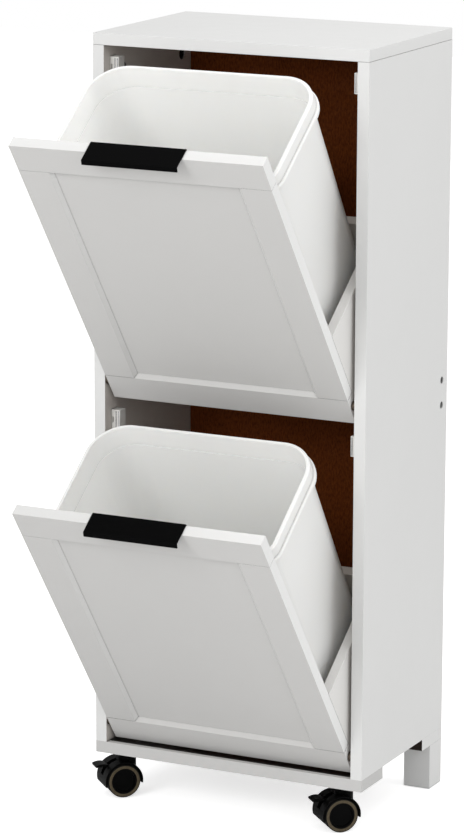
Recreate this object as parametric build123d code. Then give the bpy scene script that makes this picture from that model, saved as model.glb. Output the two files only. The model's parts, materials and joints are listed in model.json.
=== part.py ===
from build123d import *
import os
from math import atan, cos, degrees, radians, sin, sqrt

# All sizes are in millimetres. X runs across the cabinet, Y from its front to its back, Z up from the floor.

# Carcass boards
cabinet_width = 370.0
cabinet_depth = 250.0
cabinet_height = 975.0
board = 15.0
leg_height = 58.0
leg_width = 36.0
leg_depth = 37.0
front_rail_depth = 64.0
rear_rail_depth = 62.5
middle_rail_height = 65.0
middle_rail_setback = 9.0

# Back panels and the grooves that hold them
back_thickness = 3.0
back_setback = 11.0
groove_depth = 6.0
groove_clearance = 0.1

# Screws, all alike
screw_head_radius = 4.5
screw_head_height = 3.0
screw_shank_radius = 2.0
screw_length = 40.0
screw_recess = 1.8
screw_clearance = 0.1
middle_screw_pitch = 32.0
base_screw_inset = 18.0

# Cam fittings between the top panel and the sides
cam_radius = 7.5
cam_depth = 12.5
cam_recess = 1.2
cam_drop = 34.0
cam_front_inset = 53.0
cam_rear_inset = 39.0
cam_clearance = 0.1
cam_slot_width = 2.0
cam_bolt_radius = 3.5
cam_bolt_depth = 10.0

# Doors
door_side_gap = 5.0
door_bottom_gap = 3.0
door_middle_gap = 4.0
door_top_gap = 3.0
frame_width = 40.0
bevel = 5.0
panel_thickness = 4.0
panel_tongue = 6.0
panel_clearance = 0.3

# Tilting
open_angle = 36.8
pivot_height = 24.0
pin_radius = 3.0
pin_grip = 20.0
running_clearance = 0.05
bush_radius = 5.0
bush_depth = 11.0
bush_flange_radius = 5.8
bush_bottom = 1.0
stop_peg_radius = 5.0
stop_peg_shank_radius = 3.0
stop_peg_shank = 10.0
stop_peg_place = 160.0
rest_clearance = 0.3

# Holder box behind each door
holder_board = 12.0
holder_depth = 196.0
holder_height = 138.0
holder_floor_lift = 8.0

# Edge pull on each door
handle_width = 124.0
handle_thickness = 1.5
handle_overhang = 14.5
handle_lip = 6.2
handle_lip_angle = 23.0
handle_bend = 1.4
handle_tab = 26.0
handle_screw_pitch = 80.0
handle_screw_drop = 15.6
handle_screw_head_radius = 3.5
handle_screw_head_height = 1.8
handle_screw_radius = 1.6
handle_screw_grip = 9.0

# Magnetic catches and their strike plates
catch_reach = 12.0
catch_depth = 15.0
catch_height = 25.5
catch_drop = 12.5
pole_thickness = 1.4
pole_height = 22.0
pole_depth = 10.0
pole_spacing = 3.6
pole_proud = 0.5
catch_slot_width = 2.0
catch_slot_height = 7.0
catch_slot_depth = 6.0
strike_thickness = 1.0
strike_width = 14.0
strike_margin = 1.0

# Bins
bin_headroom = 56.8
bin_side_gap = 4.5
bin_rear_gap = 8.7
bin_front_radius = 28.0
bin_rear_radius = 48.5
bin_rim_height = 26.5
bin_rim_lip = 4.5
bin_mouth_depth = 30.0
bin_mouth_ledge = 0.6
bin_rim_round = 1.2
bin_bead_drop = 20.0
bin_bead_height = 5.5
bin_bead_proud = 3.5
bin_bead_round = 1.5
bin_inset = 4.0
bin_wall = 2.5
bin_draft = 1.8
bin_base_bevel = 6.0
bin_handle_gap = 0.5
bin_seat_gap = 0.2

# Casters
caster_side_inset = 33.0
caster_front_inset = 30.0
caster_yaw = -45.0
caster_trail = 13.5
wheel_radius = 21.5
wheel_width = 13.0
wheel_gap = 0.5
hub_radius = 16.5
hub_dish = 1.5
hub_dish_radius = 14.0
tread_chamfer = 0.8
tread_fit = 0.02
web_thickness = 12.0
fender_clearance = 1.5
fender_wall = 2.0
fender_front_angle = -9.0
fender_lever_angle = 195.0
axle_boss_radius = 7.0
neck_radius = 11.5
neck_shift = 4.0
neck_gap = 0.3
axle_radius = 3.0
axle_grip = 9.0
stem_radius = 4.0
stem_collar_radius = 7.0
stem_collar = 1.2
stem_drop = 26.0
insert_radius = 6.0
insert_depth = 13.0
lever_width = 18.0
lever_arm_width = 8.0
lever_thickness = 4.0
lever_tip_fall = 2.0
lever_root_fall = 1.5
lever_reach = 34.5
lever_pivot_back = 12.5
lever_pivot_rise = 14.0
lever_gap = 0.5
lever_hub_radius = 3.0
trunnion_radius = 1.8
trunnion_length = 1.4

# Places worked out from the sizes above
inner_half = cabinet_width / 2 - board
base_top = leg_height + board
side_top = cabinet_height - board
opening_height = side_top - base_top
door_height = (opening_height - door_bottom_gap - door_middle_gap - door_top_gap) / 2
door_half = inner_half - door_side_gap
lower_door_bottom = base_top + door_bottom_gap
upper_door_bottom = lower_door_bottom + door_height + door_middle_gap
door_bottoms = {"upper": upper_door_bottom, "lower": lower_door_bottom}
pivot_y = board / 2
back_front_face = cabinet_depth - back_setback - back_thickness
back_rear_face = cabinet_depth - back_setback
middle_rail_centre = (base_top + side_top) / 2
middle_rail_bottom = middle_rail_centre - middle_rail_height / 2
middle_rail_top = middle_rail_centre + middle_rail_height / 2
middle_rail_rear = cabinet_depth - middle_rail_setback
holder_rear = board + holder_depth
holder_inner_half = door_half - holder_board
holder_floor_top = holder_floor_lift + holder_board
bin_height = door_height - bin_headroom - holder_floor_top - bin_seat_gap
bin_front = board + handle_thickness + handle_screw_head_height + bin_handle_gap + bin_bead_proud
bin_rim_depth = holder_rear - bin_rear_gap - bin_front
bin_rim_width = 2 * (inner_half - catch_reach - bin_side_gap - bin_bead_proud)
catch_front = board + strike_thickness + rest_clearance
side_middle = cabinet_width / 2 - board / 2
caster_x = cabinet_width / 2 - caster_side_inset


def block(x, y, z):
    """Box between the two limits given along each axis."""
    spans = (x, y, z)
    middle = [(low + high) / 2 for low, high in spans]
    size = [high - low for low, high in spans]
    return Pos(*middle) * Box(*size)


def rod_x(x, y, z, radius):
    """Round bar along X, between the two limits in x."""
    return Pos((x[0] + x[1]) / 2, y, z) * Rot(0, 90, 0) * Cylinder(radius, x[1] - x[0])


def rod_y(x, y, z, radius):
    """Round bar along Y, between the two limits in y."""
    return Pos(x, (y[0] + y[1]) / 2, z) * Rot(90, 0, 0) * Cylinder(radius, y[1] - y[0])


def rod_z(x, y, z, radius):
    """Round bar along Z, between the two limits in z."""
    return Pos(x, y, (z[0] + z[1]) / 2) * Cylinder(radius, z[1] - z[0])


def shank_z(x, y, z, radius):
    """Eight-sided bar along Z, between the two limits in z."""
    return Pos(x, y, z[0]) * extrude(RegularPolygon(radius, 8), amount=z[1] - z[0])


def profile_x(points, x):
    """Straight-sided outline in Y and Z, drawn out along X between the two limits."""
    face = make_face(Polyline(*points, close=True))
    return extrude(Plane.YZ.offset(x[0]) * face, amount=x[1] - x[0])


def mirrored(shape):
    """The same piece on the other side of the cabinet."""
    return mirror(shape, about=Plane.YZ)


def group(solids):
    """Several alike pieces kept together."""
    return Compound([solid for shape in solids for solid in shape.solids()])


def both_sides(shapes):
    """Pieces of the right side, with their twins on the left."""
    return group(list(shapes) + [mirrored(shape) for shape in shapes])


def cut(shape, tools):
    """The shape with every tool taken away from it."""
    for tool in tools:
        shape = shape - tool
    return shape


def tilted(shape, door_bottom):
    """A piece drawn on a closed door, swung out to the open stop."""
    swing = Pos(0, pivot_y, pivot_height) * Rot(open_angle, 0, 0) * Pos(0, -pivot_y, -pivot_height)
    return Pos(0, 0, door_bottom) * swing * shape


def tilted_point(y, z):
    """Where a point drawn on a closed door lies once it is swung open, above the door's closed bottom."""
    turn = radians(open_angle)
    back, up = y - pivot_y, z - pivot_height
    return pivot_y + back * cos(turn) - up * sin(turn), pivot_height + back * sin(turn) + up * cos(turn)


def screw(spare=0.0):
    """Screw along +Z from its head's outer face, or the hole that it goes in."""
    head = rod_z(0, 0, (-screw_recess * (spare > 0), screw_head_height + spare), screw_head_radius + spare)
    return head + shank_z(0, 0, (screw_head_height, screw_length + spare), screw_shank_radius + spare)


def screw_places():
    """Right-hand places of the carcass screws: middle rail, base rails and leg."""
    places = []
    rail_y = middle_rail_rear - board / 2
    for step in (-0.5, 0.5):
        z = middle_rail_centre + step * middle_screw_pitch
        places.append(Pos(cabinet_width / 2 - screw_recess, rail_y, z) * Rot(0, -90, 0))
    front_place = front_rail_depth - base_screw_inset
    rear_place = cabinet_depth - rear_rail_depth + base_screw_inset
    for y in (front_place, rear_place):
        places.append(Pos(side_middle, y, leg_height + screw_recess))
    leg_x = cabinet_width / 2 - leg_width / 2
    leg_y = cabinet_depth - leg_depth / 2
    places.append(Pos(leg_x, leg_y, base_top - screw_recess) * Rot(180, 0, 0))
    return places


def screw_holes():
    """Holes for every carcass screw, on both sides."""
    holes = [place * screw(screw_clearance) for place in screw_places()]
    return holes + [mirrored(hole) for hole in holes]


def cam_places():
    """Distances from the cabinet's front to the cam fittings."""
    return cam_front_inset, cabinet_depth - cam_rear_inset


def cam_lock(y):
    """Cam disc let into the right side panel, with its driver slot and its mouth for the bolt."""
    z = side_top - cam_drop
    face = inner_half + cam_recess
    disc = rod_x((face, inner_half + cam_depth), y, z, cam_radius)
    slot_half = cam_slot_width / 2
    slot = block(
        (face, face + cam_slot_width), (y - cam_radius, y + cam_radius), (z - slot_half, z + slot_half)
    )
    return disc - cam_bolt(y, cam_clearance) - slot


def cam_bolt(y, spare=0.0):
    """Bolt from the top panel down into the cam, or the bore that it goes in."""
    low = side_top - cam_drop + cam_clearance * (spare == 0)
    high = side_top + cam_bolt_depth + spare
    return shank_z(side_middle, y, (low, high), cam_bolt_radius + spare)


def pivot_bush(door_bottom):
    """Flanged bush in the right side panel that carries a door's pivot pin."""
    z = door_bottom + pivot_height
    sleeve = rod_x((inner_half, inner_half + bush_depth), pivot_y, z, bush_radius)
    flange = rod_x((door_half + rest_clearance, inner_half), pivot_y, z, bush_flange_radius)
    bore_reach = (door_half, inner_half + bush_depth - bush_bottom)
    bore = rod_x(bore_reach, pivot_y, z, pin_radius + running_clearance)
    return sleeve + flange - bore


def peg_shank(door_bottom, spare=0.0):
    """Hidden end of a stop peg in the right side panel, or the hole that it goes in."""
    y, z = tilted_point(pivot_y + stop_peg_place, holder_height + stop_peg_radius + rest_clearance)
    bar = shank_z(0, 0, (0, stop_peg_shank + spare), stop_peg_shank_radius + spare)
    return Pos(inner_half, y, door_bottom + z) * Rot(0, 90, 0) * bar


def stop_peg(door_bottom):
    """Peg on the right side panel that the holder's side lands on when the door is fully open."""
    y, z = tilted_point(pivot_y + stop_peg_place, holder_height + stop_peg_radius + rest_clearance)
    head = rod_x((holder_inner_half, inner_half), y, door_bottom + z, stop_peg_radius)
    return head + peg_shank(door_bottom)


def bush_hole(door_bottom):
    """Hole in the right side panel for a pivot bush."""
    reach = (inner_half, inner_half + bush_depth + screw_clearance)
    return rod_x(reach, pivot_y, door_bottom + pivot_height, bush_radius + running_clearance)


def back_groove(x, z):
    """Groove for the back panels, between the limits in x and z."""
    y = (back_front_face - groove_clearance, back_rear_face + groove_clearance)
    return block(x, y, z)


def side_panel():
    """Right side panel, standing on the base rails."""
    panel = block((inner_half, cabinet_width / 2), (0, cabinet_depth), (base_top, side_top))
    tools = [back_groove((inner_half, inner_half + groove_depth), (base_top, side_top))]
    for y in cam_places():
        z = side_top - cam_drop
        tools.append(rod_x((inner_half, inner_half + cam_depth), y, z, cam_radius + cam_clearance))
        tools.append(cam_bolt(y, cam_clearance))
    for door_bottom in door_bottoms.values():
        tools += [bush_hole(door_bottom), peg_shank(door_bottom, screw_clearance)]
    tools += screw_holes()
    return cut(panel, tools)


def top_panel():
    """Top panel, lying on both sides."""
    panel = block((-cabinet_width / 2, cabinet_width / 2), (0, cabinet_depth), (side_top, cabinet_height))
    reach = inner_half + groove_depth
    bolts = [cam_bolt(y, cam_clearance) for y in cam_places()]
    groove = back_groove((-reach, reach), (side_top, side_top + groove_depth))
    return cut(panel, [groove] + bolts + [mirrored(bolt) for bolt in bolts])


def front_base_rail():
    """Flat rail under the front of the sides, bored for the caster inserts."""
    rail = block((-cabinet_width / 2, cabinet_width / 2), (0, front_rail_depth), (leg_height, base_top))
    reach = (leg_height, leg_height + insert_depth + screw_clearance)
    bore = insert_radius + running_clearance
    inserts = [rod_z(side * caster_x, caster_front_inset, reach, bore) for side in (-1, 1)]
    return cut(rail, screw_holes() + inserts)


def rear_base_rail():
    """Flat rail under the back of the sides, standing on the legs."""
    y = (cabinet_depth - rear_rail_depth, cabinet_depth)
    rail = block((-cabinet_width / 2, cabinet_width / 2), y, (leg_height, base_top))
    reach = inner_half + groove_depth
    groove = back_groove((-reach, reach), (base_top - groove_depth, base_top))
    return cut(rail, [groove] + screw_holes())


def rear_legs():
    """Two block legs under the rear corners."""
    x = (cabinet_width / 2 - leg_width, cabinet_width / 2)
    leg = block(x, (cabinet_depth - leg_depth, cabinet_depth), (0, leg_height))
    return both_sides([cut(leg, screw_holes())])


def back_panel(bottom, top):
    """Thin back panel, let into the grooves by all four edges."""
    half = inner_half + groove_depth - groove_clearance
    edge = groove_depth - groove_clearance
    return block((-half, half), (back_front_face, back_rear_face), (bottom - edge, top + edge))


def middle_back_rail():
    """Rail between the two back panels, grooved along both edges."""
    y = (middle_rail_rear - board, middle_rail_rear)
    rail = block((-inner_half, inner_half), y, (middle_rail_bottom, middle_rail_top))
    x = (-inner_half, inner_half)
    lower = back_groove(x, (middle_rail_bottom, middle_rail_bottom + groove_depth))
    upper = back_groove(x, (middle_rail_top - groove_depth, middle_rail_top))
    return cut(rail, [lower, upper] + screw_holes())


def pole_plates(door_bottom, proud=pole_proud):
    """The two steel plates of a right-hand catch, a little proud of its front."""
    top = door_bottom + door_height - catch_drop
    middle = top - catch_height / 2
    centre = inner_half - catch_reach + pole_spacing
    plates = []
    for step in (-0.5, 0.5):
        x = centre + step * pole_spacing
        y = (catch_front + pole_proud - proud, catch_front + pole_depth)
        z = (middle - pole_height / 2, middle + pole_height / 2)
        plates.append(block((x - pole_thickness / 2, x + pole_thickness / 2), y, z))
    return plates


def catch_housing(door_bottom):
    """Moulded body of a right-hand catch, slotted for its screw and its steel plates."""
    top = door_bottom + door_height - catch_drop
    front = catch_front + pole_proud
    x = (inner_half - catch_reach, inner_half)
    body = block(x, (front, front + catch_depth), (top - catch_height, top))
    slot_x = inner_half - catch_slot_width
    slot_z = top - catch_height / 2
    slot = block(
        (slot_x - catch_slot_width / 2, slot_x + catch_slot_width / 2),
        (front, front + catch_slot_depth),
        (slot_z - catch_slot_height / 2, slot_z + catch_slot_height / 2),
    )
    return cut(body, [slot] + pole_plates(door_bottom))


def caster_places():
    """Where the two casters stand, with the turn that their wheels have at rest."""
    return {
        "left": Pos(-caster_x, caster_front_inset, 0) * Rot(0, 0, caster_yaw),
        "right": Pos(caster_x, caster_front_inset, 0) * Rot(0, 0, caster_yaw),
    }


def caster_stem():
    """Steel stem with its collar, drawn about its own axis."""
    bottom = leg_height - stem_collar - stem_drop
    rod = rod_z(0, 0, (bottom, leg_height + insert_depth - screw_clearance), stem_radius)
    return rod + rod_z(0, 0, (leg_height - stem_collar, leg_height), stem_collar_radius)


def caster_insert():
    """Sleeve in the front rail that the stem is screwed into."""
    sleeve = rod_z(0, 0, (leg_height, leg_height + insert_depth), insert_radius)
    return sleeve - rod_z(0, 0, (leg_height, leg_height + insert_depth), stem_radius + running_clearance)


def door_pieces():
    """The framed door, drawn closed with its bottom edge at zero height."""
    inner = door_half - frame_width
    low, high = frame_width, door_height - frame_width
    depth = (0, board)
    pocket_front = Rectangle(2 * inner, high - low)
    pocket_back = Rectangle(2 * (inner - bevel), high - low - 2 * bevel)
    middle = Pos(0, 0, (low + high) / 2)
    face_in = Rot(-90, 0, 0)
    pocket = middle * loft([face_in * pocket_front, Pos(0, bevel, 0) * face_in * pocket_back])
    tongue_half = inner - bevel + panel_tongue
    tongue_z = (low + bevel - panel_tongue, high - bevel + panel_tongue)
    panel_y = (bevel, bevel + panel_thickness)
    spare = panel_clearance
    groove = block(
        (-tongue_half - spare, tongue_half + spare), panel_y, (tongue_z[0] - spare, tongue_z[1] + spare)
    )
    rail_outline = [
        (-door_half, 0),
        (door_half, 0),
        (door_half, low),
        (inner, low),
        (inner - bevel, low + bevel),
        (bevel - inner, low + bevel),
        (-inner, low),
        (-door_half, low),
    ]
    stile_outline = [
        (inner, low),
        (door_half, low),
        (door_half, high),
        (inner, high),
        (inner - bevel, high - bevel),
        (inner - bevel, low + bevel),
    ]
    upright = Plane.XZ
    rail = extrude(upright * make_face(Polyline(*rail_outline, close=True)), amount=-board)
    stile = extrude(upright * make_face(Polyline(*stile_outline, close=True)), amount=-board)
    flipped = Pos(0, 0, door_height) * mirror(rail, about=Plane.XY)
    right_stile = cut(stile, [pocket, groove])
    pin_holes = [
        rod_x(span, pivot_y, pivot_height, pin_radius + running_clearance)
        for span in ((door_half - pin_grip, door_half), (-door_half, pin_grip - door_half))
    ]
    return {
        "top_rail": cut(flipped, [pocket, groove] + handle_screw_set(screw_clearance)),
        "bottom_rail": cut(rail, [pocket, groove] + pin_holes),
        "left_stile": mirrored(right_stile),
        "right_stile": right_stile,
        "door_panel": block((-tongue_half, tongue_half), panel_y, tongue_z),
    }


def holder_pieces():
    """Open-topped box behind the door that the bin stands in."""
    side = block((holder_inner_half, door_half), (board, holder_rear), (0, holder_height))
    inner = (-holder_inner_half, holder_inner_half)
    back_face = holder_rear - holder_board
    return {
        "holder_left_side": mirrored(side),
        "holder_right_side": side,
        "holder_back": block(inner, (back_face, holder_rear), (holder_floor_lift, holder_height)),
        "holder_floor": block(inner, (board, back_face), (holder_floor_lift, holder_floor_top)),
    }


def handle():
    """Bent edge pull: a tab behind the door, a plate over its top edge and a turned-down lip."""
    t = handle_thickness
    top = door_height + t
    lean = radians(handle_lip_angle)
    tip_y = -handle_overhang - handle_lip * sin(lean)
    tip_z = top - handle_lip * cos(lean)
    slope = (t - t * sin(lean)) / cos(lean)
    outline = [
        (board, door_height - handle_tab),
        (board + t, door_height - handle_tab),
        (board + t, top),
        (-handle_overhang, top),
        (tip_y, tip_z),
        (tip_y + t * cos(lean), tip_z - t * sin(lean)),
        (-handle_overhang + t * cos(lean) - slope * sin(lean), door_height),
        (board, door_height),
    ]
    face = make_face(Polyline(*outline, close=True))
    face = fillet(face.vertices().group_by(Axis.Y)[-1], handle_bend)
    plate = extrude(Plane.YZ.offset(-handle_width / 2) * face, amount=handle_width)
    return cut(plate, handle_screw_set(screw_clearance))


def handle_screw_set(spare=0.0):
    """The two screws through a handle's tab, or the holes that they go in."""
    z = door_height - handle_screw_drop
    face = board + handle_thickness
    screws = []
    for side in (-0.5, 0.5):
        x = side * handle_screw_pitch
        length = face - board + handle_screw_grip + spare
        shank = Pos(x, face, z) * Rot(90, 0, 0) * shank_z(0, 0, (0, length), handle_screw_radius + spare)
        if spare == 0:
            shank = shank + rod_y(x, (face, face + handle_screw_head_height), z, handle_screw_head_radius)
        screws.append(shank)
    return screws


def strike_plate():
    """Steel plate on the back of the door, facing the right-hand catch."""
    x = (door_half - strike_margin - strike_width, door_half - strike_margin)
    top = door_height - catch_drop
    return block(x, (board, board + strike_thickness), (top - catch_height, top))


def pivot_pin():
    """Steel pin from the door's right edge into its bush."""
    reach = (door_half - pin_grip + screw_clearance, inner_half + bush_depth - bush_bottom - screw_clearance)
    return rod_x(reach, pivot_y, pivot_height, pin_radius)


def bin_outline(inset):
    """Outline inside the rim's outer face by the given inset, rounder at its rear corners."""
    face = Rectangle(bin_rim_width - 2 * inset, bin_rim_depth - 2 * inset)
    face = fillet(face.vertices().group_by(Axis.Y)[0], bin_front_radius - inset)
    return fillet(face.vertices().group_by(Axis.Y)[-1], bin_rear_radius - inset)


def bin_ring(inset, low, high):
    """Upright block with the rounded outline, between two heights."""
    return Pos(0, 0, low) * extrude(bin_outline(inset), amount=high - low)


def bin_body(inset, low, high, draft=bin_draft):
    """Block that narrows downwards from the outline at its upper height."""
    return Pos(0, 0, high) * extrude(bin_outline(inset), amount=high - low, dir=(0, 0, -1), taper=draft)


def bin_shell():
    """Tapered bin with rounded corners, a stepped mouth, a thick rim and a bead round it."""
    ledge = bin_height - bin_rim_height
    step = bin_height - bin_mouth_depth
    outside = bin_body(bin_inset, 0, ledge)
    outside = chamfer(outside.faces().sort_by(Axis.Z)[0].edges(), bin_base_bevel)
    inside = bin_body(bin_inset + bin_wall, bin_wall, step)
    inside = chamfer(inside.faces().sort_by(Axis.Z)[0].edges(), bin_base_bevel)
    rim = bin_ring(0, ledge, bin_height)
    rim = chamfer(rim.faces().sort_by(Axis.Z)[-1].edges(), bin_rim_round)
    bead_low = bin_height - bin_bead_drop
    bead = bin_ring(-bin_bead_proud, bead_low, bead_low + bin_bead_height)
    bead = chamfer(bead.faces().sort_by(Axis.Z)[-1].edges(), bin_bead_round)
    mouth_narrowing = bin_inset + bin_wall - bin_mouth_ledge - bin_rim_lip
    mouth_draft = degrees(atan(mouth_narrowing / bin_mouth_depth))
    mouth = bin_body(bin_rim_lip, step, bin_height, mouth_draft)
    return outside + rim + bead - inside - mouth


def caster_hood():
    """Moulded hood of a twin-wheel caster: centre web, fender, neck, stem socket and lever pocket."""
    width = web_thickness + 2 * (wheel_width + wheel_gap)
    middle = Pos(0, -caster_trail, wheel_radius)
    across = Rot(0, 90, 0)
    inner_radius = wheel_radius + fender_clearance
    outer_radius = inner_radius + fender_wall
    reach = 2 * outer_radius
    drum = middle * across * Cylinder(outer_radius, width)
    neck = rod_z(0, -neck_shift, (wheel_radius, leg_height - stem_collar - neck_gap), neck_radius)
    boss = middle * across * Cylinder(axle_boss_radius, web_thickness)
    wheel_room = [
        middle * Pos(side * (width + web_thickness) / 2, 0, 0) * across * Cylinder(inner_radius, width)
        for side in (-1, 1)
    ]
    front_open = middle * Rot(fender_front_angle, 0, 0) * block((-width, width), (0, reach), (-reach, 0))
    lever_open = middle * Rot(fender_lever_angle, 0, 0) * block((-width, width), (0, reach), (0, reach))
    socket_bottom = leg_height - stem_collar - stem_drop - neck_gap
    socket = rod_z(0, 0, (socket_bottom, leg_height), stem_radius + running_clearance)
    axle = middle * across * Cylinder(axle_radius + tread_fit, width)
    pivot = middle * Pos(0, -lever_pivot_back, lever_pivot_rise)
    arm_half = lever_arm_width / 2 + lever_gap
    deep = 2 * lever_thickness
    pocket = pivot * block((-arm_half, arm_half), (-reach, deep), (-deep, reach))
    trunnion_reach = lever_arm_width / 2 + trunnion_length + lever_gap / 2
    trunnions = pivot * across * Cylinder(trunnion_radius + running_clearance, 2 * trunnion_reach)
    body = cut(drum + neck, wheel_room + [front_open, lever_open]) + boss
    return cut(body, [socket, axle, pocket, trunnions])


def caster_axle():
    """Steel axle through the hood's web into both wheels."""
    half = web_thickness / 2 + wheel_gap + axle_grip
    return Pos(0, -caster_trail, wheel_radius) * Rot(0, 90, 0) * Cylinder(axle_radius, 2 * half)


def wheel_hub(side):
    """Wheel core with a dished outer face and a blind bore for the axle."""
    inner_face = web_thickness / 2 + wheel_gap
    outer_face = inner_face + wheel_width
    hub = rod_x((inner_face, outer_face), -caster_trail, wheel_radius, hub_radius)
    dish = rod_x((outer_face - hub_dish, outer_face), -caster_trail, wheel_radius, hub_dish_radius)
    bore_end = inner_face + axle_grip + running_clearance
    bore = rod_x((inner_face, bore_end), -caster_trail, wheel_radius, axle_radius + running_clearance)
    hub = hub - dish - bore
    return hub if side > 0 else mirrored(hub)


def wheel_tread(side):
    """Tread ring round a wheel core, with its outer edge taken off."""
    inner_face = web_thickness / 2 + wheel_gap
    outer_face = inner_face + wheel_width
    tyre = rod_x((inner_face, outer_face), -caster_trail, wheel_radius, wheel_radius)
    tyre = chamfer(tyre.faces().sort_by(Axis.X)[-1].edges(), tread_chamfer)
    tyre = tyre - rod_x((inner_face, outer_face), -caster_trail, wheel_radius, hub_radius + tread_fit)
    return tyre if side > 0 else mirrored(tyre)


def brake_lever():
    """Foot lever on two moulded trunnions, with an arched paddle outside the hood."""
    outer_radius = wheel_radius + fender_clearance + fender_wall
    centre_y, centre_z = -caster_trail, wheel_radius
    pivot_back_y = centre_y - lever_pivot_back
    pivot_up_z = centre_z + lever_pivot_rise
    half = lever_thickness / 2
    tip_y = centre_y - lever_reach
    crown_z = pivot_up_z + 2 * lever_thickness
    root_rise = crown_z - lever_thickness - centre_z
    root_y = centre_y - sqrt((outer_radius + 2 * lever_gap) ** 2 - root_rise**2)
    middle_y = (root_y + tip_y) / 2
    root = (root_y, crown_z - lever_root_fall)
    tip = (tip_y, crown_z - lever_tip_fall)
    under_z = crown_z - lever_thickness
    outline = [
        ThreePointArc(root, (middle_y, crown_z), tip),
        Polyline(tip, (tip_y, under_z), (root_y, under_z), root),
    ]
    paddle = extrude(Plane.YZ.offset(-lever_width / 2) * make_face(outline), amount=lever_width)
    arm = profile_x(
        [
            (pivot_back_y + half, pivot_up_z - half),
            (pivot_back_y + half, pivot_up_z + half),
            (root_y - half, crown_z - lever_root_fall),
            (root_y - half, under_z),
            (pivot_back_y - half, pivot_up_z - half),
        ],
        (-lever_arm_width / 2, lever_arm_width / 2),
    )
    reach = lever_arm_width / 2 + trunnion_length
    hub = rod_x((-lever_arm_width / 2, lever_arm_width / 2), pivot_back_y, pivot_up_z, lever_hub_radius)
    trunnions = rod_x((-reach, reach), pivot_back_y, pivot_up_z, trunnion_radius)
    return paddle + arm + hub + trunnions


def cabinet_nodes():
    """Everything that stands still."""
    right_side = side_panel()
    bottoms = list(door_bottoms.values())
    stems = [place * caster_stem() for place in caster_places().values()]
    inserts = [place * caster_insert() for place in caster_places().values()]
    return {
        "top_panel": top_panel(),
        "left_side_panel": mirrored(right_side),
        "right_side_panel": right_side,
        "front_base_rail": front_base_rail(),
        "rear_base_rail": rear_base_rail(),
        "rear_legs": rear_legs(),
        "upper_back_panel": back_panel(middle_rail_top, side_top),
        "lower_back_panel": back_panel(base_top, middle_rail_bottom),
        "middle_back_rail": middle_back_rail(),
        "cam_locks": both_sides([cam_lock(y) for y in cam_places()]),
        "cam_bolts": both_sides([cam_bolt(y) for y in cam_places()]),
        "carcass_screws": both_sides([place * screw() for place in screw_places()]),
        "catch_housings": both_sides([catch_housing(bottom) for bottom in bottoms]),
        "catch_pole_plates": both_sides([plate for bottom in bottoms for plate in pole_plates(bottom)]),
        "pivot_bushes": both_sides([pivot_bush(bottom) for bottom in bottoms]),
        "tilt_stop_pegs": both_sides([stop_peg(bottom) for bottom in bottoms]),
        "caster_stems": group(stems),
        "caster_inserts": group(inserts),
    }


def flap_nodes(level, door_bottom):
    """One door with its holder, handle and fittings, swung open, and the bin that stands in it."""
    pieces = door_pieces() | holder_pieces()
    pieces["handle"] = handle()
    pieces["handle_screws"] = group(handle_screw_set())
    pieces["strike_plates"] = both_sides([strike_plate()])
    pieces["pivot_pins"] = both_sides([pivot_pin()])
    bin_y = bin_front + bin_rim_depth / 2
    pieces["bin"] = Pos(0, bin_y, holder_floor_top + bin_seat_gap) * bin_shell()
    return {f"{level}_{name}": tilted(shape, door_bottom) for name, shape in pieces.items()}


def caster_nodes(side, place):
    """One twin-wheel caster."""
    pieces = {
        "caster_hood": caster_hood(),
        "caster_axle": caster_axle(),
        "caster_outer_wheel": wheel_hub(1),
        "caster_inner_wheel": wheel_hub(-1),
        "caster_outer_tread": wheel_tread(1),
        "caster_inner_tread": wheel_tread(-1),
        "brake_lever": brake_lever(),
    }
    return {f"{side}_{name}": place * shape for name, shape in pieces.items()}


nodes = cabinet_nodes()
for level, door_bottom in door_bottoms.items():
    nodes |= flap_nodes(level, door_bottom)
for side, place in caster_places().items():
    nodes |= caster_nodes(side, place)

# The origin lies on the floor, under the middle of the open unit
front_y = min(shape.bounding_box().min.Y for shape in nodes.values())
origin_y = (front_y + cabinet_depth) / 2

os.makedirs("parts", exist_ok=True)
for name, shape in nodes.items():
    export_step(Pos(0, -origin_y, 0) * shape, f"parts/{name}.step")
print(len(nodes), "nodes, origin", round(origin_y, 3), "mm behind the cabinet's front")
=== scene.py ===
import json
from math import cos, pi, radians, sin

import bpy
from mathutils import Matrix, Vector


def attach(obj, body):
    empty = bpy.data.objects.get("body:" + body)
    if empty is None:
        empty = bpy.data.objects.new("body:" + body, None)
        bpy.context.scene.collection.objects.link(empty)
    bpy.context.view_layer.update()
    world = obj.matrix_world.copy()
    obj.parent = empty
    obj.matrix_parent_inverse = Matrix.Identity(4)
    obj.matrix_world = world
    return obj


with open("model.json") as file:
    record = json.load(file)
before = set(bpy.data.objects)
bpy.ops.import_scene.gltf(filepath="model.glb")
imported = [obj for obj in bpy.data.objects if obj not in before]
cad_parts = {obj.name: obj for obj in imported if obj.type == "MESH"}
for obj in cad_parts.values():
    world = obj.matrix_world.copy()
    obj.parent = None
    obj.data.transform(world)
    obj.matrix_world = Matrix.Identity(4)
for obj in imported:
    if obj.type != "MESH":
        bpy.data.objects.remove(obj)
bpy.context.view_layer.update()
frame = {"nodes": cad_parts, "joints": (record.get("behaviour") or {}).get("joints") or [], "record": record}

nodes = frame["nodes"]

# Camera, as the photograph was taken
CAMERA_PLACE = (2.0152, -4.0877, 1.5423)
CAMERA_AZIMUTH = 26.15
CAMERA_ELEVATION = 12.76
CAMERA_ROLL = 0.19
SENSOR_LONG_SIDE = 36.0
LENS = 163.6

# Surround and floor
WHITE = (1.0, 1.0, 1.0, 1.0)
WORLD_LEVEL = 0.60
WORLD_SEEN = 1.0
FLOOR_SIZE = 14.0
FLOOR_DROP = 0.0006
FLOOR_BOUNCE = 0.80
FLOOR_WHITE = 0.86
FLOOR_LIFT = 0.62

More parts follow.
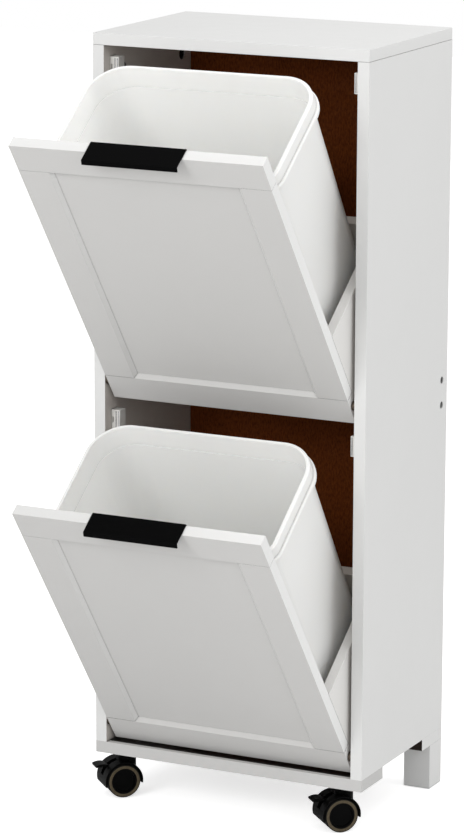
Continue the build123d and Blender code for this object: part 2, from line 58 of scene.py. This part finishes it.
# Lamps: name, place, aim, size and power
LAMPS = [
    ("front", (-0.7, -3.1, 2.1), (0.0, -0.1, 0.6), 1.4, 38.5),
    ("low_front", (-0.6, -3.0, 0.6), (0.0, 0.0, 0.5), 1.2, 6.0),
    ("near_camera", (1.6, -2.8, 1.7), (0.0, 0.0, 0.5), 1.4, 10.0),
    ("right_fill", (3.0, -0.6, 2.4), (0.0, 0.1, 0.6), 2.0, 23.0),
    ("top_back", (0.8, 0.8, 3.0), (0.0, 0.1, 0.8), 1.6, 24.0),
]

# Rounded edges and shading
WELD_GAP = 0.00001
SMOOTH_BELOW = radians(32)
BEVEL_ABOVE = radians(35)
BEVEL_SEGMENTS = 2
EDGE_ROUND = {
    "white_board": 0.0010,
    "door_white": 0.0007,
    "handle_black": 0.0004,
    "caster_black": 0.0004,
    "catch_white": 0.0005,
    "bin_white": 0.0008,
}

# Pale ring on the face of each caster wheel
RING_INNER_SPARE = 0.0002
RING_OUTER_SPARE = 0.0012
RING_BULGE = 0.0003
RING_STEPS = 6
RING_TURNS = 72

# Colours of boards
BOARD_WHITE = (0.73, 0.73, 0.722)
# Grey on the inner faces of the side panels is painted shade
INNER_SHADE_GREY = (0.62, 0.58, 0.54)
# Door faces painted darker than the boards as painted shade; their side and top edges lighter as painted
# light
DOOR_SHADED_WHITE = (0.59, 0.584, 0.572)
EDGE_LIT_WHITE = (0.83, 0.83, 0.82)
HOLDER_WHITE = (0.77, 0.76, 0.74)
# Cream on the holder backs is painted warm light, lighter than the boards around it
HOLDER_LIT_CREAM = (0.92, 0.86, 0.79)
# Front base rail painted darker than the boards as painted shade; its top behind the lip painted near black
# as painted shadow in the gap
BASE_SHADED_WHITE = (0.56, 0.555, 0.545)
BASE_GAP_SHADOW = (0.004, 0.003, 0.002)
# Raw board on the rear base rail's front face, its brown darkened to near black as painted shade under the
# cabinet
RAW_BROWN_IN_SHADE = (0.014, 0.006, 0.0025)
FIBRE_LIGHT = (0.185, 0.046, 0.009)
FIBRE_DARK = (0.095, 0.019, 0.003)

# Colours of plastic, rubber and metal
# Bin inside painted lighter than the outside as painted light
BIN_INSIDE_LIT = (0.98, 0.98, 0.963)
BIN_OUTSIDE = (0.87, 0.87, 0.855)
BIN_SCATTER = (1.0, 0.9, 0.78)
CATCH_WHITE = (0.78, 0.77, 0.74)
HANDLE_BLACK = (0.0008, 0.0008, 0.0009)
CAM_BLACK = (0.004, 0.004, 0.004)
CASTER_BLACK = (0.001, 0.001, 0.001)
TREAD_BLACK = (0.006, 0.006, 0.005)
RING_KHAKI = (0.088, 0.070, 0.044)
ZINC_GREY = (0.60, 0.60, 0.61)
SCREW_GREY = (0.14, 0.14, 0.145)
BRONZE = (0.13, 0.105, 0.085)

# Painted lip in front of the base rail's top, which behind it is painted near black as painted shadow in the
# gap under the door
BASE_LIP = 0.007

# Stops in the noise where colours change
NOISE_RANGE = (0.3, 0.7)
CHIP_STOPS = (0.35, 0.52, 0.7)
FIBRE_STOPS = (0.32, 0.55, 0.75)
DUST_STOPS = (0.3, 0.55, 0.75)

# Chips in raw board: how far they go darker and lighter than its colour
CHIP_DARKER = 0.55
CHIP_LIGHTER = 1.2

# Clouding of paint and bins, as noise scales per metre
PAINT_CLOUDS = 3.0
BIN_CLOUDS = 6.0

# Where a face starts to look along an axis, and where it does so fully
FACING_FROM = 0.6
FACING_FULL = 0.9

# Painted shade in crevices: openness at which it is darkest, and at which it ends
CREVICE_SHUT = 0.4
CREVICE_OPEN = 0.85
CREVICE_SAMPLES = 4


def fill(node, values):
    """Plain values put on a node's inputs, named with underscores for spaces."""
    for key, value in values.items():
        node.inputs[key.replace("_", " ")].default_value = value


def shade(colour, factor):
    """The colour made lighter or darker."""
    return tuple(min(1.0, channel * factor) for channel in colour)


class Look:
    """One node material, built up step by step."""

    def __init__(self, name):
        self.material = bpy.data.materials.new(name)
        self.material.use_nodes = True
        self.tree = self.material.node_tree
        self.shader = self.tree.nodes["Principled BSDF"]
        where = self.tree.nodes.new("ShaderNodeTexCoord")
        self.place = where.outputs["Object"]
        self.normal = where.outputs["Normal"]

    def set(self, **values):
        """Plain values on the shader itself."""
        fill(self.shader, values)

    def node(self, kind, **values):
        """New node with plain values on it."""
        made = self.tree.nodes.new(kind)
        fill(made, values)
        return made

    def link(self, source, target):
        """Wire from an output to an input."""
        self.tree.links.new(source, target)

    def maths(self, operation, *sources, kind="ShaderNodeMath", output="Value"):
        """One step of arithmetic on outputs or plain values."""
        made = self.tree.nodes.new(kind)
        made.operation = operation
        for socket, source in zip(made.inputs, sources):
            if isinstance(source, bpy.types.NodeSocket):
                self.link(source, socket)
            else:
                socket.default_value = source
        return made.outputs[output]

    def vector_maths(self, operation, *sources, output="Vector"):
        """One step of arithmetic on vectors or colours."""
        return self.maths(operation, *sources, kind="ShaderNodeVectorMath", output=output)

    def mapped(self, source, **ends):
        """Value carried over from one range to another."""
        made = self.node("ShaderNodeMapRange", **ends)
        self.link(source, made.inputs["Value"])
        return made.outputs["Result"]

    def stretched(self, x=1.0, y=1.0, z=1.0):
        """Object place with each axis scaled, for grain that runs one way."""
        mapping = self.node("ShaderNodeMapping", Scale=(x, y, z))
        self.link(self.place, mapping.inputs["Vector"])
        return mapping.outputs["Vector"]

    def noise(self, scale, detail=3.0, roughness=0.5, place=None):
        """Noise of a given scale per metre."""
        made = self.node("ShaderNodeTexNoise", Scale=scale, Detail=detail, Roughness=roughness)
        self.link(place or self.place, made.inputs["Vector"])
        return made.outputs["Fac"]

    def uneven(self, source, middle, swing):
        """Noise turned into values around a middle."""
        low, high = NOISE_RANGE
        return self.mapped(source, From_Min=low, From_Max=high, To_Min=middle - swing, To_Max=middle + swing)

    def colours(self, source, stops, tones):
        """Colour ramp with one tone at each stop."""
        made = self.tree.nodes.new("ShaderNodeValToRGB")
        ramp = made.color_ramp
        for stop in stops[1:-1]:
            ramp.elements.new(stop)
        for element, stop, tone in zip(ramp.elements, stops, tones):
            element.position = stop
            element.color = (*tone, 1.0)
        self.link(source, made.inputs["Fac"])
        return made.outputs["Color"]

    def clouded(self, colour, scale, dark=0.985, light=1.01):
        """Colour in faintly darker and lighter patches."""
        tones = (shade(colour, dark), shade(colour, light))
        return self.colours(self.noise(scale, detail=2.0), NOISE_RANGE, tones)

    def part_of(self, vector, axis):
        """One axis of a vector."""
        made = self.tree.nodes.new("ShaderNodeSeparateXYZ")
        self.link(vector, made.inputs["Vector"])
        return made.outputs[axis]

    def turned(self, axis, side):
        """One on faces that look to one side along an axis, zero on the others."""
        facing = self.part_of(self.normal, axis)
        return self.mapped(facing, From_Min=FACING_FROM * side, From_Max=FACING_FULL * side)

    def deeper(self, start):
        """One behind a given depth, zero in front of it."""
        return self.maths("GREATER_THAN", self.part_of(self.place, "Y"), start)

    def outward(self, centre):
        """One on faces that look away from a point, zero on those that look towards it."""
        away = self.vector_maths("SUBTRACT", self.place, centre)
        along = self.vector_maths("DOT_PRODUCT", away, self.normal, output="Value")
        return self.maths("GREATER_THAN", along, 0.0)

    def mixed(self, share, first, second):
        """Two colours mixed by a share of the second."""
        made = self.tree.nodes.new("ShaderNodeMix")
        made.data_type = "RGBA"
        colours = [socket for socket in made.inputs if socket.type == "RGBA"]
        self.link(share, made.inputs["Factor"])
        self.link(first, colours[0])
        self.link(second, colours[1])
        return [socket for socket in made.outputs if socket.type == "RGBA"][0]

    def painted_crevice_shade(self, colour, reach, darkest):
        """Painted shade: colour darkened in narrow gaps and inner corners, where shade falls."""
        shut = self.node("ShaderNodeAmbientOcclusion", Distance=reach)
        shut.samples = CREVICE_SAMPLES
        # Ambient occlusion turned into painted shade in the colour
        level = self.mapped(shut.outputs["AO"], From_Min=CREVICE_SHUT, From_Max=CREVICE_OPEN, To_Min=darkest)
        return self.vector_maths("MULTIPLY", colour, level)

    def bump(self, height, strength, distance):
        """Fine relief in the surface."""
        made = self.node("ShaderNodeBump", Strength=strength, Distance=distance)
        self.link(height, made.inputs["Height"])
        self.link(made.outputs["Normal"], self.shader.inputs["Normal"])

    def finish(self, colour, roughness):
        """Colour and roughness wired to the shader."""
        self.link(colour, self.shader.inputs["Base Color"])
        self.link(roughness, self.shader.inputs["Roughness"])
        return self.material


def sprayed(look, tone, gloss, shine=0.35):
    """Sprayed paint in a tone: fine orange peel, uneven sheen, and painted shade darkening its seams and
    inner corners.
    """
    look.set(Specular_IOR_Level=shine)
    look.bump(look.noise(scale=900.0, detail=2.0), strength=0.10, distance=0.0002)
    sheen = look.uneven(look.noise(scale=40.0), gloss, swing=0.05)
    # The tone is darkened by painted shade in seams and inner corners
    return look.finish(look.painted_crevice_shade(tone, reach=0.003, darkest=0.15), sheen)


def painted_board(name, colour, gloss):
    """Painted board with faint clouding."""
    look = Look(name)
    return sprayed(look, look.clouded(colour, PAINT_CLOUDS), gloss)


def shaded_face_lit_edge_board(name, face, edge, gloss):
    """Painted board whose faces are painted darker as painted shade, and whose side and top edges have a
    lighter band as painted light.
    """
    look = Look(name)
    sideways = look.maths("MAXIMUM", look.turned("X", 1), look.turned("X", -1))
    edges = look.maths("MAXIMUM", sideways, look.turned("Z", 1))
    # Painted light on the side and top edges, painted shade on the faces
    tone = look.mixed(edges, look.clouded(face, PAINT_CLOUDS), look.clouded(edge, PAINT_CLOUDS))
    return sprayed(look, tone, gloss)


def two_faced_board(name, paint, other, mottle, axis, side, start=None):
    """Painted board whose faces to one side, behind a depth if one is given, have another colour."""
    look = Look(name)
    chips = look.noise(scale=420.0, detail=5.0, roughness=0.7, place=look.stretched(x=0.5))
    dark = shade(other, factor=1 - CHIP_DARKER * mottle)
    light = shade(other, factor=1 + CHIP_LIGHTER * mottle)
    share = look.turned(axis, side)
    if start is not None:
        share = look.maths("MULTIPLY", share, look.deeper(start))
    mottled = look.colours(chips, CHIP_STOPS, (dark, other, light))
    tone = look.mixed(share, look.clouded(paint, PAINT_CLOUDS), mottled)
    return sprayed(look, tone, gloss=0.45, shine=0.3)


def hardboard(name, light, dark):
    """Pressed fibre board: short tangled fibres with darker flecks."""
    look = Look(name)
    fibre = look.noise(scale=520.0, detail=6.0, roughness=0.65, place=look.stretched(z=0.35))
    tone = look.colours(fibre, FIBRE_STOPS, (dark, light, shade(light, factor=1.35)))
    look.set(Specular_IOR_Level=0.08)
    look.bump(fibre, strength=0.35, distance=0.0004)
    return look.finish(tone, look.uneven(look.noise(scale=70.0), middle=0.7, swing=0.1))


def moulded_plastic(name, colour, gloss, grain, relief, shine):
    """Moulded plastic with a fine spark-eroded grain."""
    look = Look(name)
    pebble = look.noise(grain, detail=4.0, roughness=0.6)
    look.set(Specular_IOR_Level=shine)
    look.bump(pebble, relief, distance=0.0002)
    tone = look.clouded(colour, scale=9.0, dark=0.97, light=1.02)
    return look.finish(tone, look.uneven(pebble, gloss, swing=0.06))


def milky_plastic(name, inside, outside, centre, gloss, depth):
    """Thin white plastic that lets some light through, with its inner faces painted lighter than its outer
    faces as painted light.
    """
    look = Look(name)
    grain = look.noise(scale=1400.0, detail=3.0, roughness=0.6)
    inner, outer = look.clouded(inside, BIN_CLOUDS), look.clouded(outside, BIN_CLOUDS)
    # Faces towards the centre get the lighter tone as painted light
    tone = look.mixed(look.outward(centre), inner, outer)
    look.set(Subsurface_Weight=0.15, Subsurface_Radius=BIN_SCATTER, Subsurface_Scale=depth)
    look.set(Specular_IOR_Level=0.3)
    look.bump(grain, strength=0.04, distance=0.0002)
    return look.finish(look.painted_crevice_shade(tone, reach=0.004, darkest=0.6), look.uneven(grain, gloss, swing=0.05))


def metal(name, colour, gloss):
    """Plated metal with fine drawn lines."""
    look = Look(name)
    look.set(Metallic=1.0)
    line = look.noise(scale=1500.0, detail=2.0, place=look.stretched(y=0.04))
    tone = look.colours(line, NOISE_RANGE, (shade(colour, factor=0.82), colour))
    look.bump(line, strength=0.12, distance=0.0001)
    return look.finish(tone, look.uneven(line, gloss, swing=0.08))


def rubber(name, colour):
    """Dull moulded rubber, a little dusty."""
    look = Look(name)
    dust = look.noise(scale=260.0, detail=5.0, roughness=0.65)
    tones = (shade(colour, factor=0.7), colour, shade(colour, factor=1.25))
    look.set(Specular_IOR_Level=0.12)
    look.bump(dust, strength=0.25, distance=0.0003)
    return look.finish(look.colours(dust, DUST_STOPS, tones), look.uneven(dust, middle=0.725, swing=0.125))


def front_of(node):
    """Depth of a node's foremost point."""
    return min(vertex.co.y for vertex in nodes[node].data.vertices)


def centre_of(node):
    """Middle of a node's box."""
    places = [vertex.co for vertex in nodes[node].data.vertices]
    return [(min(axis) + max(axis)) / 2 for axis in zip(*places)]


def slot_looks():
    """Material of each slot in the record, apart from the bins."""
    return {
        "white_board": painted_board("white_board_paint", BOARD_WHITE, gloss=0.45),
        # Door paint: faces darker as painted shade, side and top edges lighter as painted light
        "door_white": shaded_face_lit_edge_board("door_paint_shaded_face_lit_edges", DOOR_SHADED_WHITE, EDGE_LIT_WHITE, gloss=0.42),
        "hardboard": hardboard("brown_hardboard", FIBRE_LIGHT, FIBRE_DARK),
        "handle_black": moulded_plastic(
            "handle_coat", HANDLE_BLACK, gloss=0.5, grain=1800.0, relief=0.10, shine=0.04
        ),
        "fitting_dark": moulded_plastic(
            "blackened_cam", CAM_BLACK, gloss=0.5, grain=900.0, relief=0.10, shine=0.15
        ),
        "catch_white": moulded_plastic(
            "catch_plastic", CATCH_WHITE, gloss=0.40, grain=900.0, relief=0.08, shine=0.4
        ),
        "caster_black": moulded_plastic(
            "caster_plastic", CASTER_BLACK, gloss=0.42, grain=800.0, relief=0.12, shine=0.05
        ),
        "fitting_steel": metal("zinc_steel", ZINC_GREY, gloss=0.32),
        "bush_bronze": metal("bronze", BRONZE, gloss=0.5),
        "tread_khaki": rubber("black_rubber", TREAD_BLACK),
    }


def node_looks():
    """Materials of the nodes that differ from their slot, and of the bins."""
    lip_end = front_of("front_base_rail") + BASE_LIP
    looks = {
        # Rear base rail: raw board front face, its brown darkened as painted shade under the cabinet
        "rear_base_rail": two_faced_board(
            "rear_base_rail_paint", BOARD_WHITE, RAW_BROWN_IN_SHADE, mottle=1.0, axis="Y", side=-1
        ),
        # Front base rail: darker white as painted shade, and its top behind the lip near black as painted
        # shadow in the gap under the door
        "front_base_rail": two_faced_board(
            "front_base_rail_painted_shade", BASE_SHADED_WHITE, BASE_GAP_SHADOW, mottle=1.0, axis="Z", side=1, start=lip_end
        ),
        # Inner faces of the side panels painted grey as painted shade
        "left_side_panel": two_faced_board(
            "left_side_panel_inner_painted_shade", BOARD_WHITE, INNER_SHADE_GREY, mottle=0.02, axis="X", side=1
        ),
        "right_side_panel": two_faced_board(
            "right_side_panel_inner_painted_shade", BOARD_WHITE, INNER_SHADE_GREY, mottle=0.02, axis="X", side=-1
        ),
        "carcass_screws": metal("dull_screws", SCREW_GREY, gloss=0.42),
    }
    holder = painted_board("holder_paint", HOLDER_WHITE, gloss=0.42)
    # Holder backs painted lighter and warmer as painted warm light
    holder_back = painted_board("holder_back_painted_light", HOLDER_LIT_CREAM, gloss=0.42)
    for flap in ("upper", "lower"):
        for board in ("left_side", "right_side", "floor"):
            looks[f"{flap}_holder_{board}"] = holder
        looks[f"{flap}_holder_back"] = holder_back
        centre = centre_of(f"{flap}_bin")
        looks[f"{flap}_bin"] = milky_plastic(
            f"{flap}_bin_plastic_lit_inside", BIN_INSIDE_LIT, BIN_OUTSIDE, centre, gloss=0.36, depth=0.003
        )
    return looks


def smooth_shading():
    """Node group that shades shallow edges smooth and keeps the others sharp."""
    tree = bpy.data.node_groups.new("smooth_shading", "GeometryNodeTree")
    tree.interface.new_socket("Geometry", in_out="INPUT", socket_type="NodeSocketGeometry")
    tree.interface.new_socket("Geometry", in_out="OUTPUT", socket_type="NodeSocketGeometry")
    start = tree.nodes.new("NodeGroupInput")
    end = tree.nodes.new("NodeGroupOutput")
    angle = tree.nodes.new("GeometryNodeInputMeshEdgeAngle")
    sharp = tree.nodes.new("ShaderNodeMath")
    sharp.operation = "GREATER_THAN"
    sharp.inputs[1].default_value = SMOOTH_BELOW
    normals = tree.nodes.new("GeometryNodeSetMeshNormal")
    normals.inputs["Remove Custom"].default_value = True
    tree.links.new(start.outputs[0], normals.inputs["Mesh"])
    tree.links.new(angle.outputs["Unsigned Angle"], sharp.inputs[0])
    tree.links.new(sharp.outputs["Value"], normals.inputs["Edge Sharpness"])
    tree.links.new(normals.outputs["Mesh"], end.inputs[0])
    return tree


def dress(piece, slot, look, smooth):
    """CAD node with its material and softened edges."""
    piece.data.materials.clear()
    piece.data.materials.append(look)
    piece.modifiers.new("weld", "WELD").merge_threshold = WELD_GAP
    if slot in EDGE_ROUND:
        bevel = piece.modifiers.new("soft_edges", "BEVEL")
        bevel.width = EDGE_ROUND[slot]
        bevel.segments = BEVEL_SEGMENTS
        bevel.limit_method = "ANGLE"
        bevel.angle_limit = BEVEL_ABOVE
    piece.modifiers.new("smooth", "NODES").node_group = smooth
    piece.modifiers.new("flat_faces", "WEIGHTED_NORMAL").keep_sharp = True


def dress_nodes():
    """Every CAD node dressed in its own look or that of its slot."""
    by_slot = slot_looks()
    by_node = node_looks()
    smooth = smooth_shading()
    for part in frame["record"]["subparts"]:
        name, slot = part["node"], part["material_slot"]
        dress(nodes[name], slot, by_node.get(name) or by_slot[slot], smooth)


def reaches(node, centre, axle):
    """How far a node reaches along an axle and out from it."""
    offsets = [vertex.co - centre for vertex in nodes[node].data.vertices]
    along = [offset.dot(axle) for offset in offsets]
    outward = [(offset - axle * reach).length for offset, reach in zip(offsets, along)]
    return max(along), max(outward)


def wheel_ring(name, wheel, tread, centre, axle):
    """Slightly bulged pale ring on the outer face of a caster wheel."""
    inner = reaches(wheel, centre, axle)[1] + RING_INNER_SPARE
    face, rim = reaches(tread, centre, axle)
    outer = rim - RING_OUTER_SPARE
    across = axle.orthogonal().normalized()
    up = axle.cross(across)
    points = []
    for step in range(RING_STEPS + 1):
        share = step / RING_STEPS
        radius = inner + (outer - inner) * share
        height = face + RING_BULGE * sin(pi * share)
        for turn in range(RING_TURNS):
            angle = 2 * pi * turn / RING_TURNS
            points.append(centre + axle * height + (across * cos(angle) + up * sin(angle)) * radius)
    faces = []
    for step in range(RING_STEPS):
        for turn in range(RING_TURNS):
            here, ahead = turn, (turn + 1) % RING_TURNS
            low, high = step * RING_TURNS, (step + 1) * RING_TURNS
            faces.append((low + here, high + here, high + ahead, low + ahead))
    mesh = bpy.data.meshes.new(name)
    mesh.from_pydata(points, [], faces)
    mesh.shade_smooth()
    ring = bpy.data.objects.new(name, mesh)
    bpy.context.scene.collection.objects.link(ring)
    return ring


def add_wheel_rings():
    """One ring for each of the four wheels, riding with it."""
    khaki = rubber("khaki_rubber", RING_KHAKI)
    for joint in frame["joints"]:
        if not joint["name"].endswith("_wheel_roll"):
            continue
        side, place = joint["child"].split("_")[:2]
        axle = Vector(joint["axis"]).normalized() * (1 if place == "outer" else -1)
        node = f"{side}_caster_{place}"
        ring = wheel_ring(f"{node}_ring", f"{node}_wheel", f"{node}_tread", Vector(joint["pos_m"]), axle)
        ring.data.materials.append(khaki)
        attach(ring, joint["child"])


def add_camera():
    """Camera at the photograph's place, aim and lens."""
    data = bpy.data.cameras.new("camera")
    data.sensor_width = SENSOR_LONG_SIDE
    data.lens = LENS
    camera = bpy.data.objects.new("camera", data)
    bpy.context.scene.collection.objects.link(camera)
    turn = Matrix.Rotation(radians(CAMERA_AZIMUTH), 4, "Z")
    dip = Matrix.Rotation(radians(90 - CAMERA_ELEVATION), 4, "X")
    roll = Matrix.Rotation(radians(CAMERA_ROLL), 4, "Z")
    camera.matrix_world = Matrix.Translation(CAMERA_PLACE) @ turn @ dip @ roll
    bpy.context.scene.camera = camera


def add_world():
    """Even studio surround that the camera sees as white."""
    world = bpy.data.worlds.new("studio")
    bpy.context.scene.world = world
    world.use_nodes = True
    tree = world.node_tree
    back = tree.nodes["Background"]
    back.inputs["Color"].default_value = WHITE
    seen = tree.nodes.new("ShaderNodeLightPath").outputs["Is Camera Ray"]
    level = tree.nodes.new("ShaderNodeMapRange")
    fill(level, {"To_Min": WORLD_LEVEL, "To_Max": WORLD_SEEN})
    tree.links.new(seen, level.inputs["Value"])
    tree.links.new(level.outputs["Result"], back.inputs["Strength"])


def add_area_light(name, place, target, size, power):
    """Large soft lamp aimed at a point."""
    data = bpy.data.lights.new(name, "AREA")
    data.shape = "SQUARE"
    data.size = size
    data.energy = power
    lamp = bpy.data.objects.new(name, data)
    bpy.context.scene.collection.objects.link(lamp)
    aim = (Vector(target) - Vector(place)).to_track_quat("-Z", "Y")
    lamp.location = place
    lamp.rotation_euler = aim.to_euler()


def floor_material():
    """Matt white, lifted for the camera so that the floor fades into the surround."""
    material = bpy.data.materials.new("floor_white")
    material.use_nodes = True
    tree = material.node_tree
    tree.nodes.remove(tree.nodes["Principled BSDF"])
    seen = tree.nodes.new("ShaderNodeLightPath").outputs["Is Camera Ray"]
    colour = tree.nodes.new("ShaderNodeMapRange")
    fill(colour, {"To_Min": FLOOR_BOUNCE, "To_Max": FLOOR_WHITE})
    level = tree.nodes.new("ShaderNodeMath")
    level.operation = "MULTIPLY"
    level.inputs[1].default_value = FLOOR_LIFT
    matt = tree.nodes.new("ShaderNodeBsdfDiffuse")
    glow = tree.nodes.new("ShaderNodeEmission")
    both = tree.nodes.new("ShaderNodeAddShader")
    tree.links.new(seen, colour.inputs["Value"])
    tree.links.new(seen, level.inputs[0])
    tree.links.new(colour.outputs["Result"], matt.inputs["Color"])
    tree.links.new(level.outputs["Value"], glow.inputs["Strength"])
    tree.links.new(matt.outputs["BSDF"], both.inputs[0])
    tree.links.new(glow.outputs["Emission"], both.inputs[1])
    tree.links.new(both.outputs["Shader"], tree.nodes["Material Output"].inputs["Surface"])
    return material


def add_floor():
    """White floor that keeps a soft shadow."""
    half = FLOOR_SIZE / 2
    mesh = bpy.data.meshes.new("floor")
    corners = [(-half, -half, 0), (half, -half, 0), (half, half, 0), (-half, half, 0)]
    mesh.from_pydata(corners, [], [(0, 1, 2, 3)])
    mesh.materials.append(floor_material())
    floor = bpy.data.objects.new("floor", mesh)
    floor.location.z = -FLOOR_DROP
    bpy.context.scene.collection.objects.link(floor)


dress_nodes()
add_wheel_rings()
add_camera()
add_world()
add_floor()
for lamp in LAMPS:
    add_area_light(*lamp)

bpy.context.scene.view_settings.view_transform = "Standard"
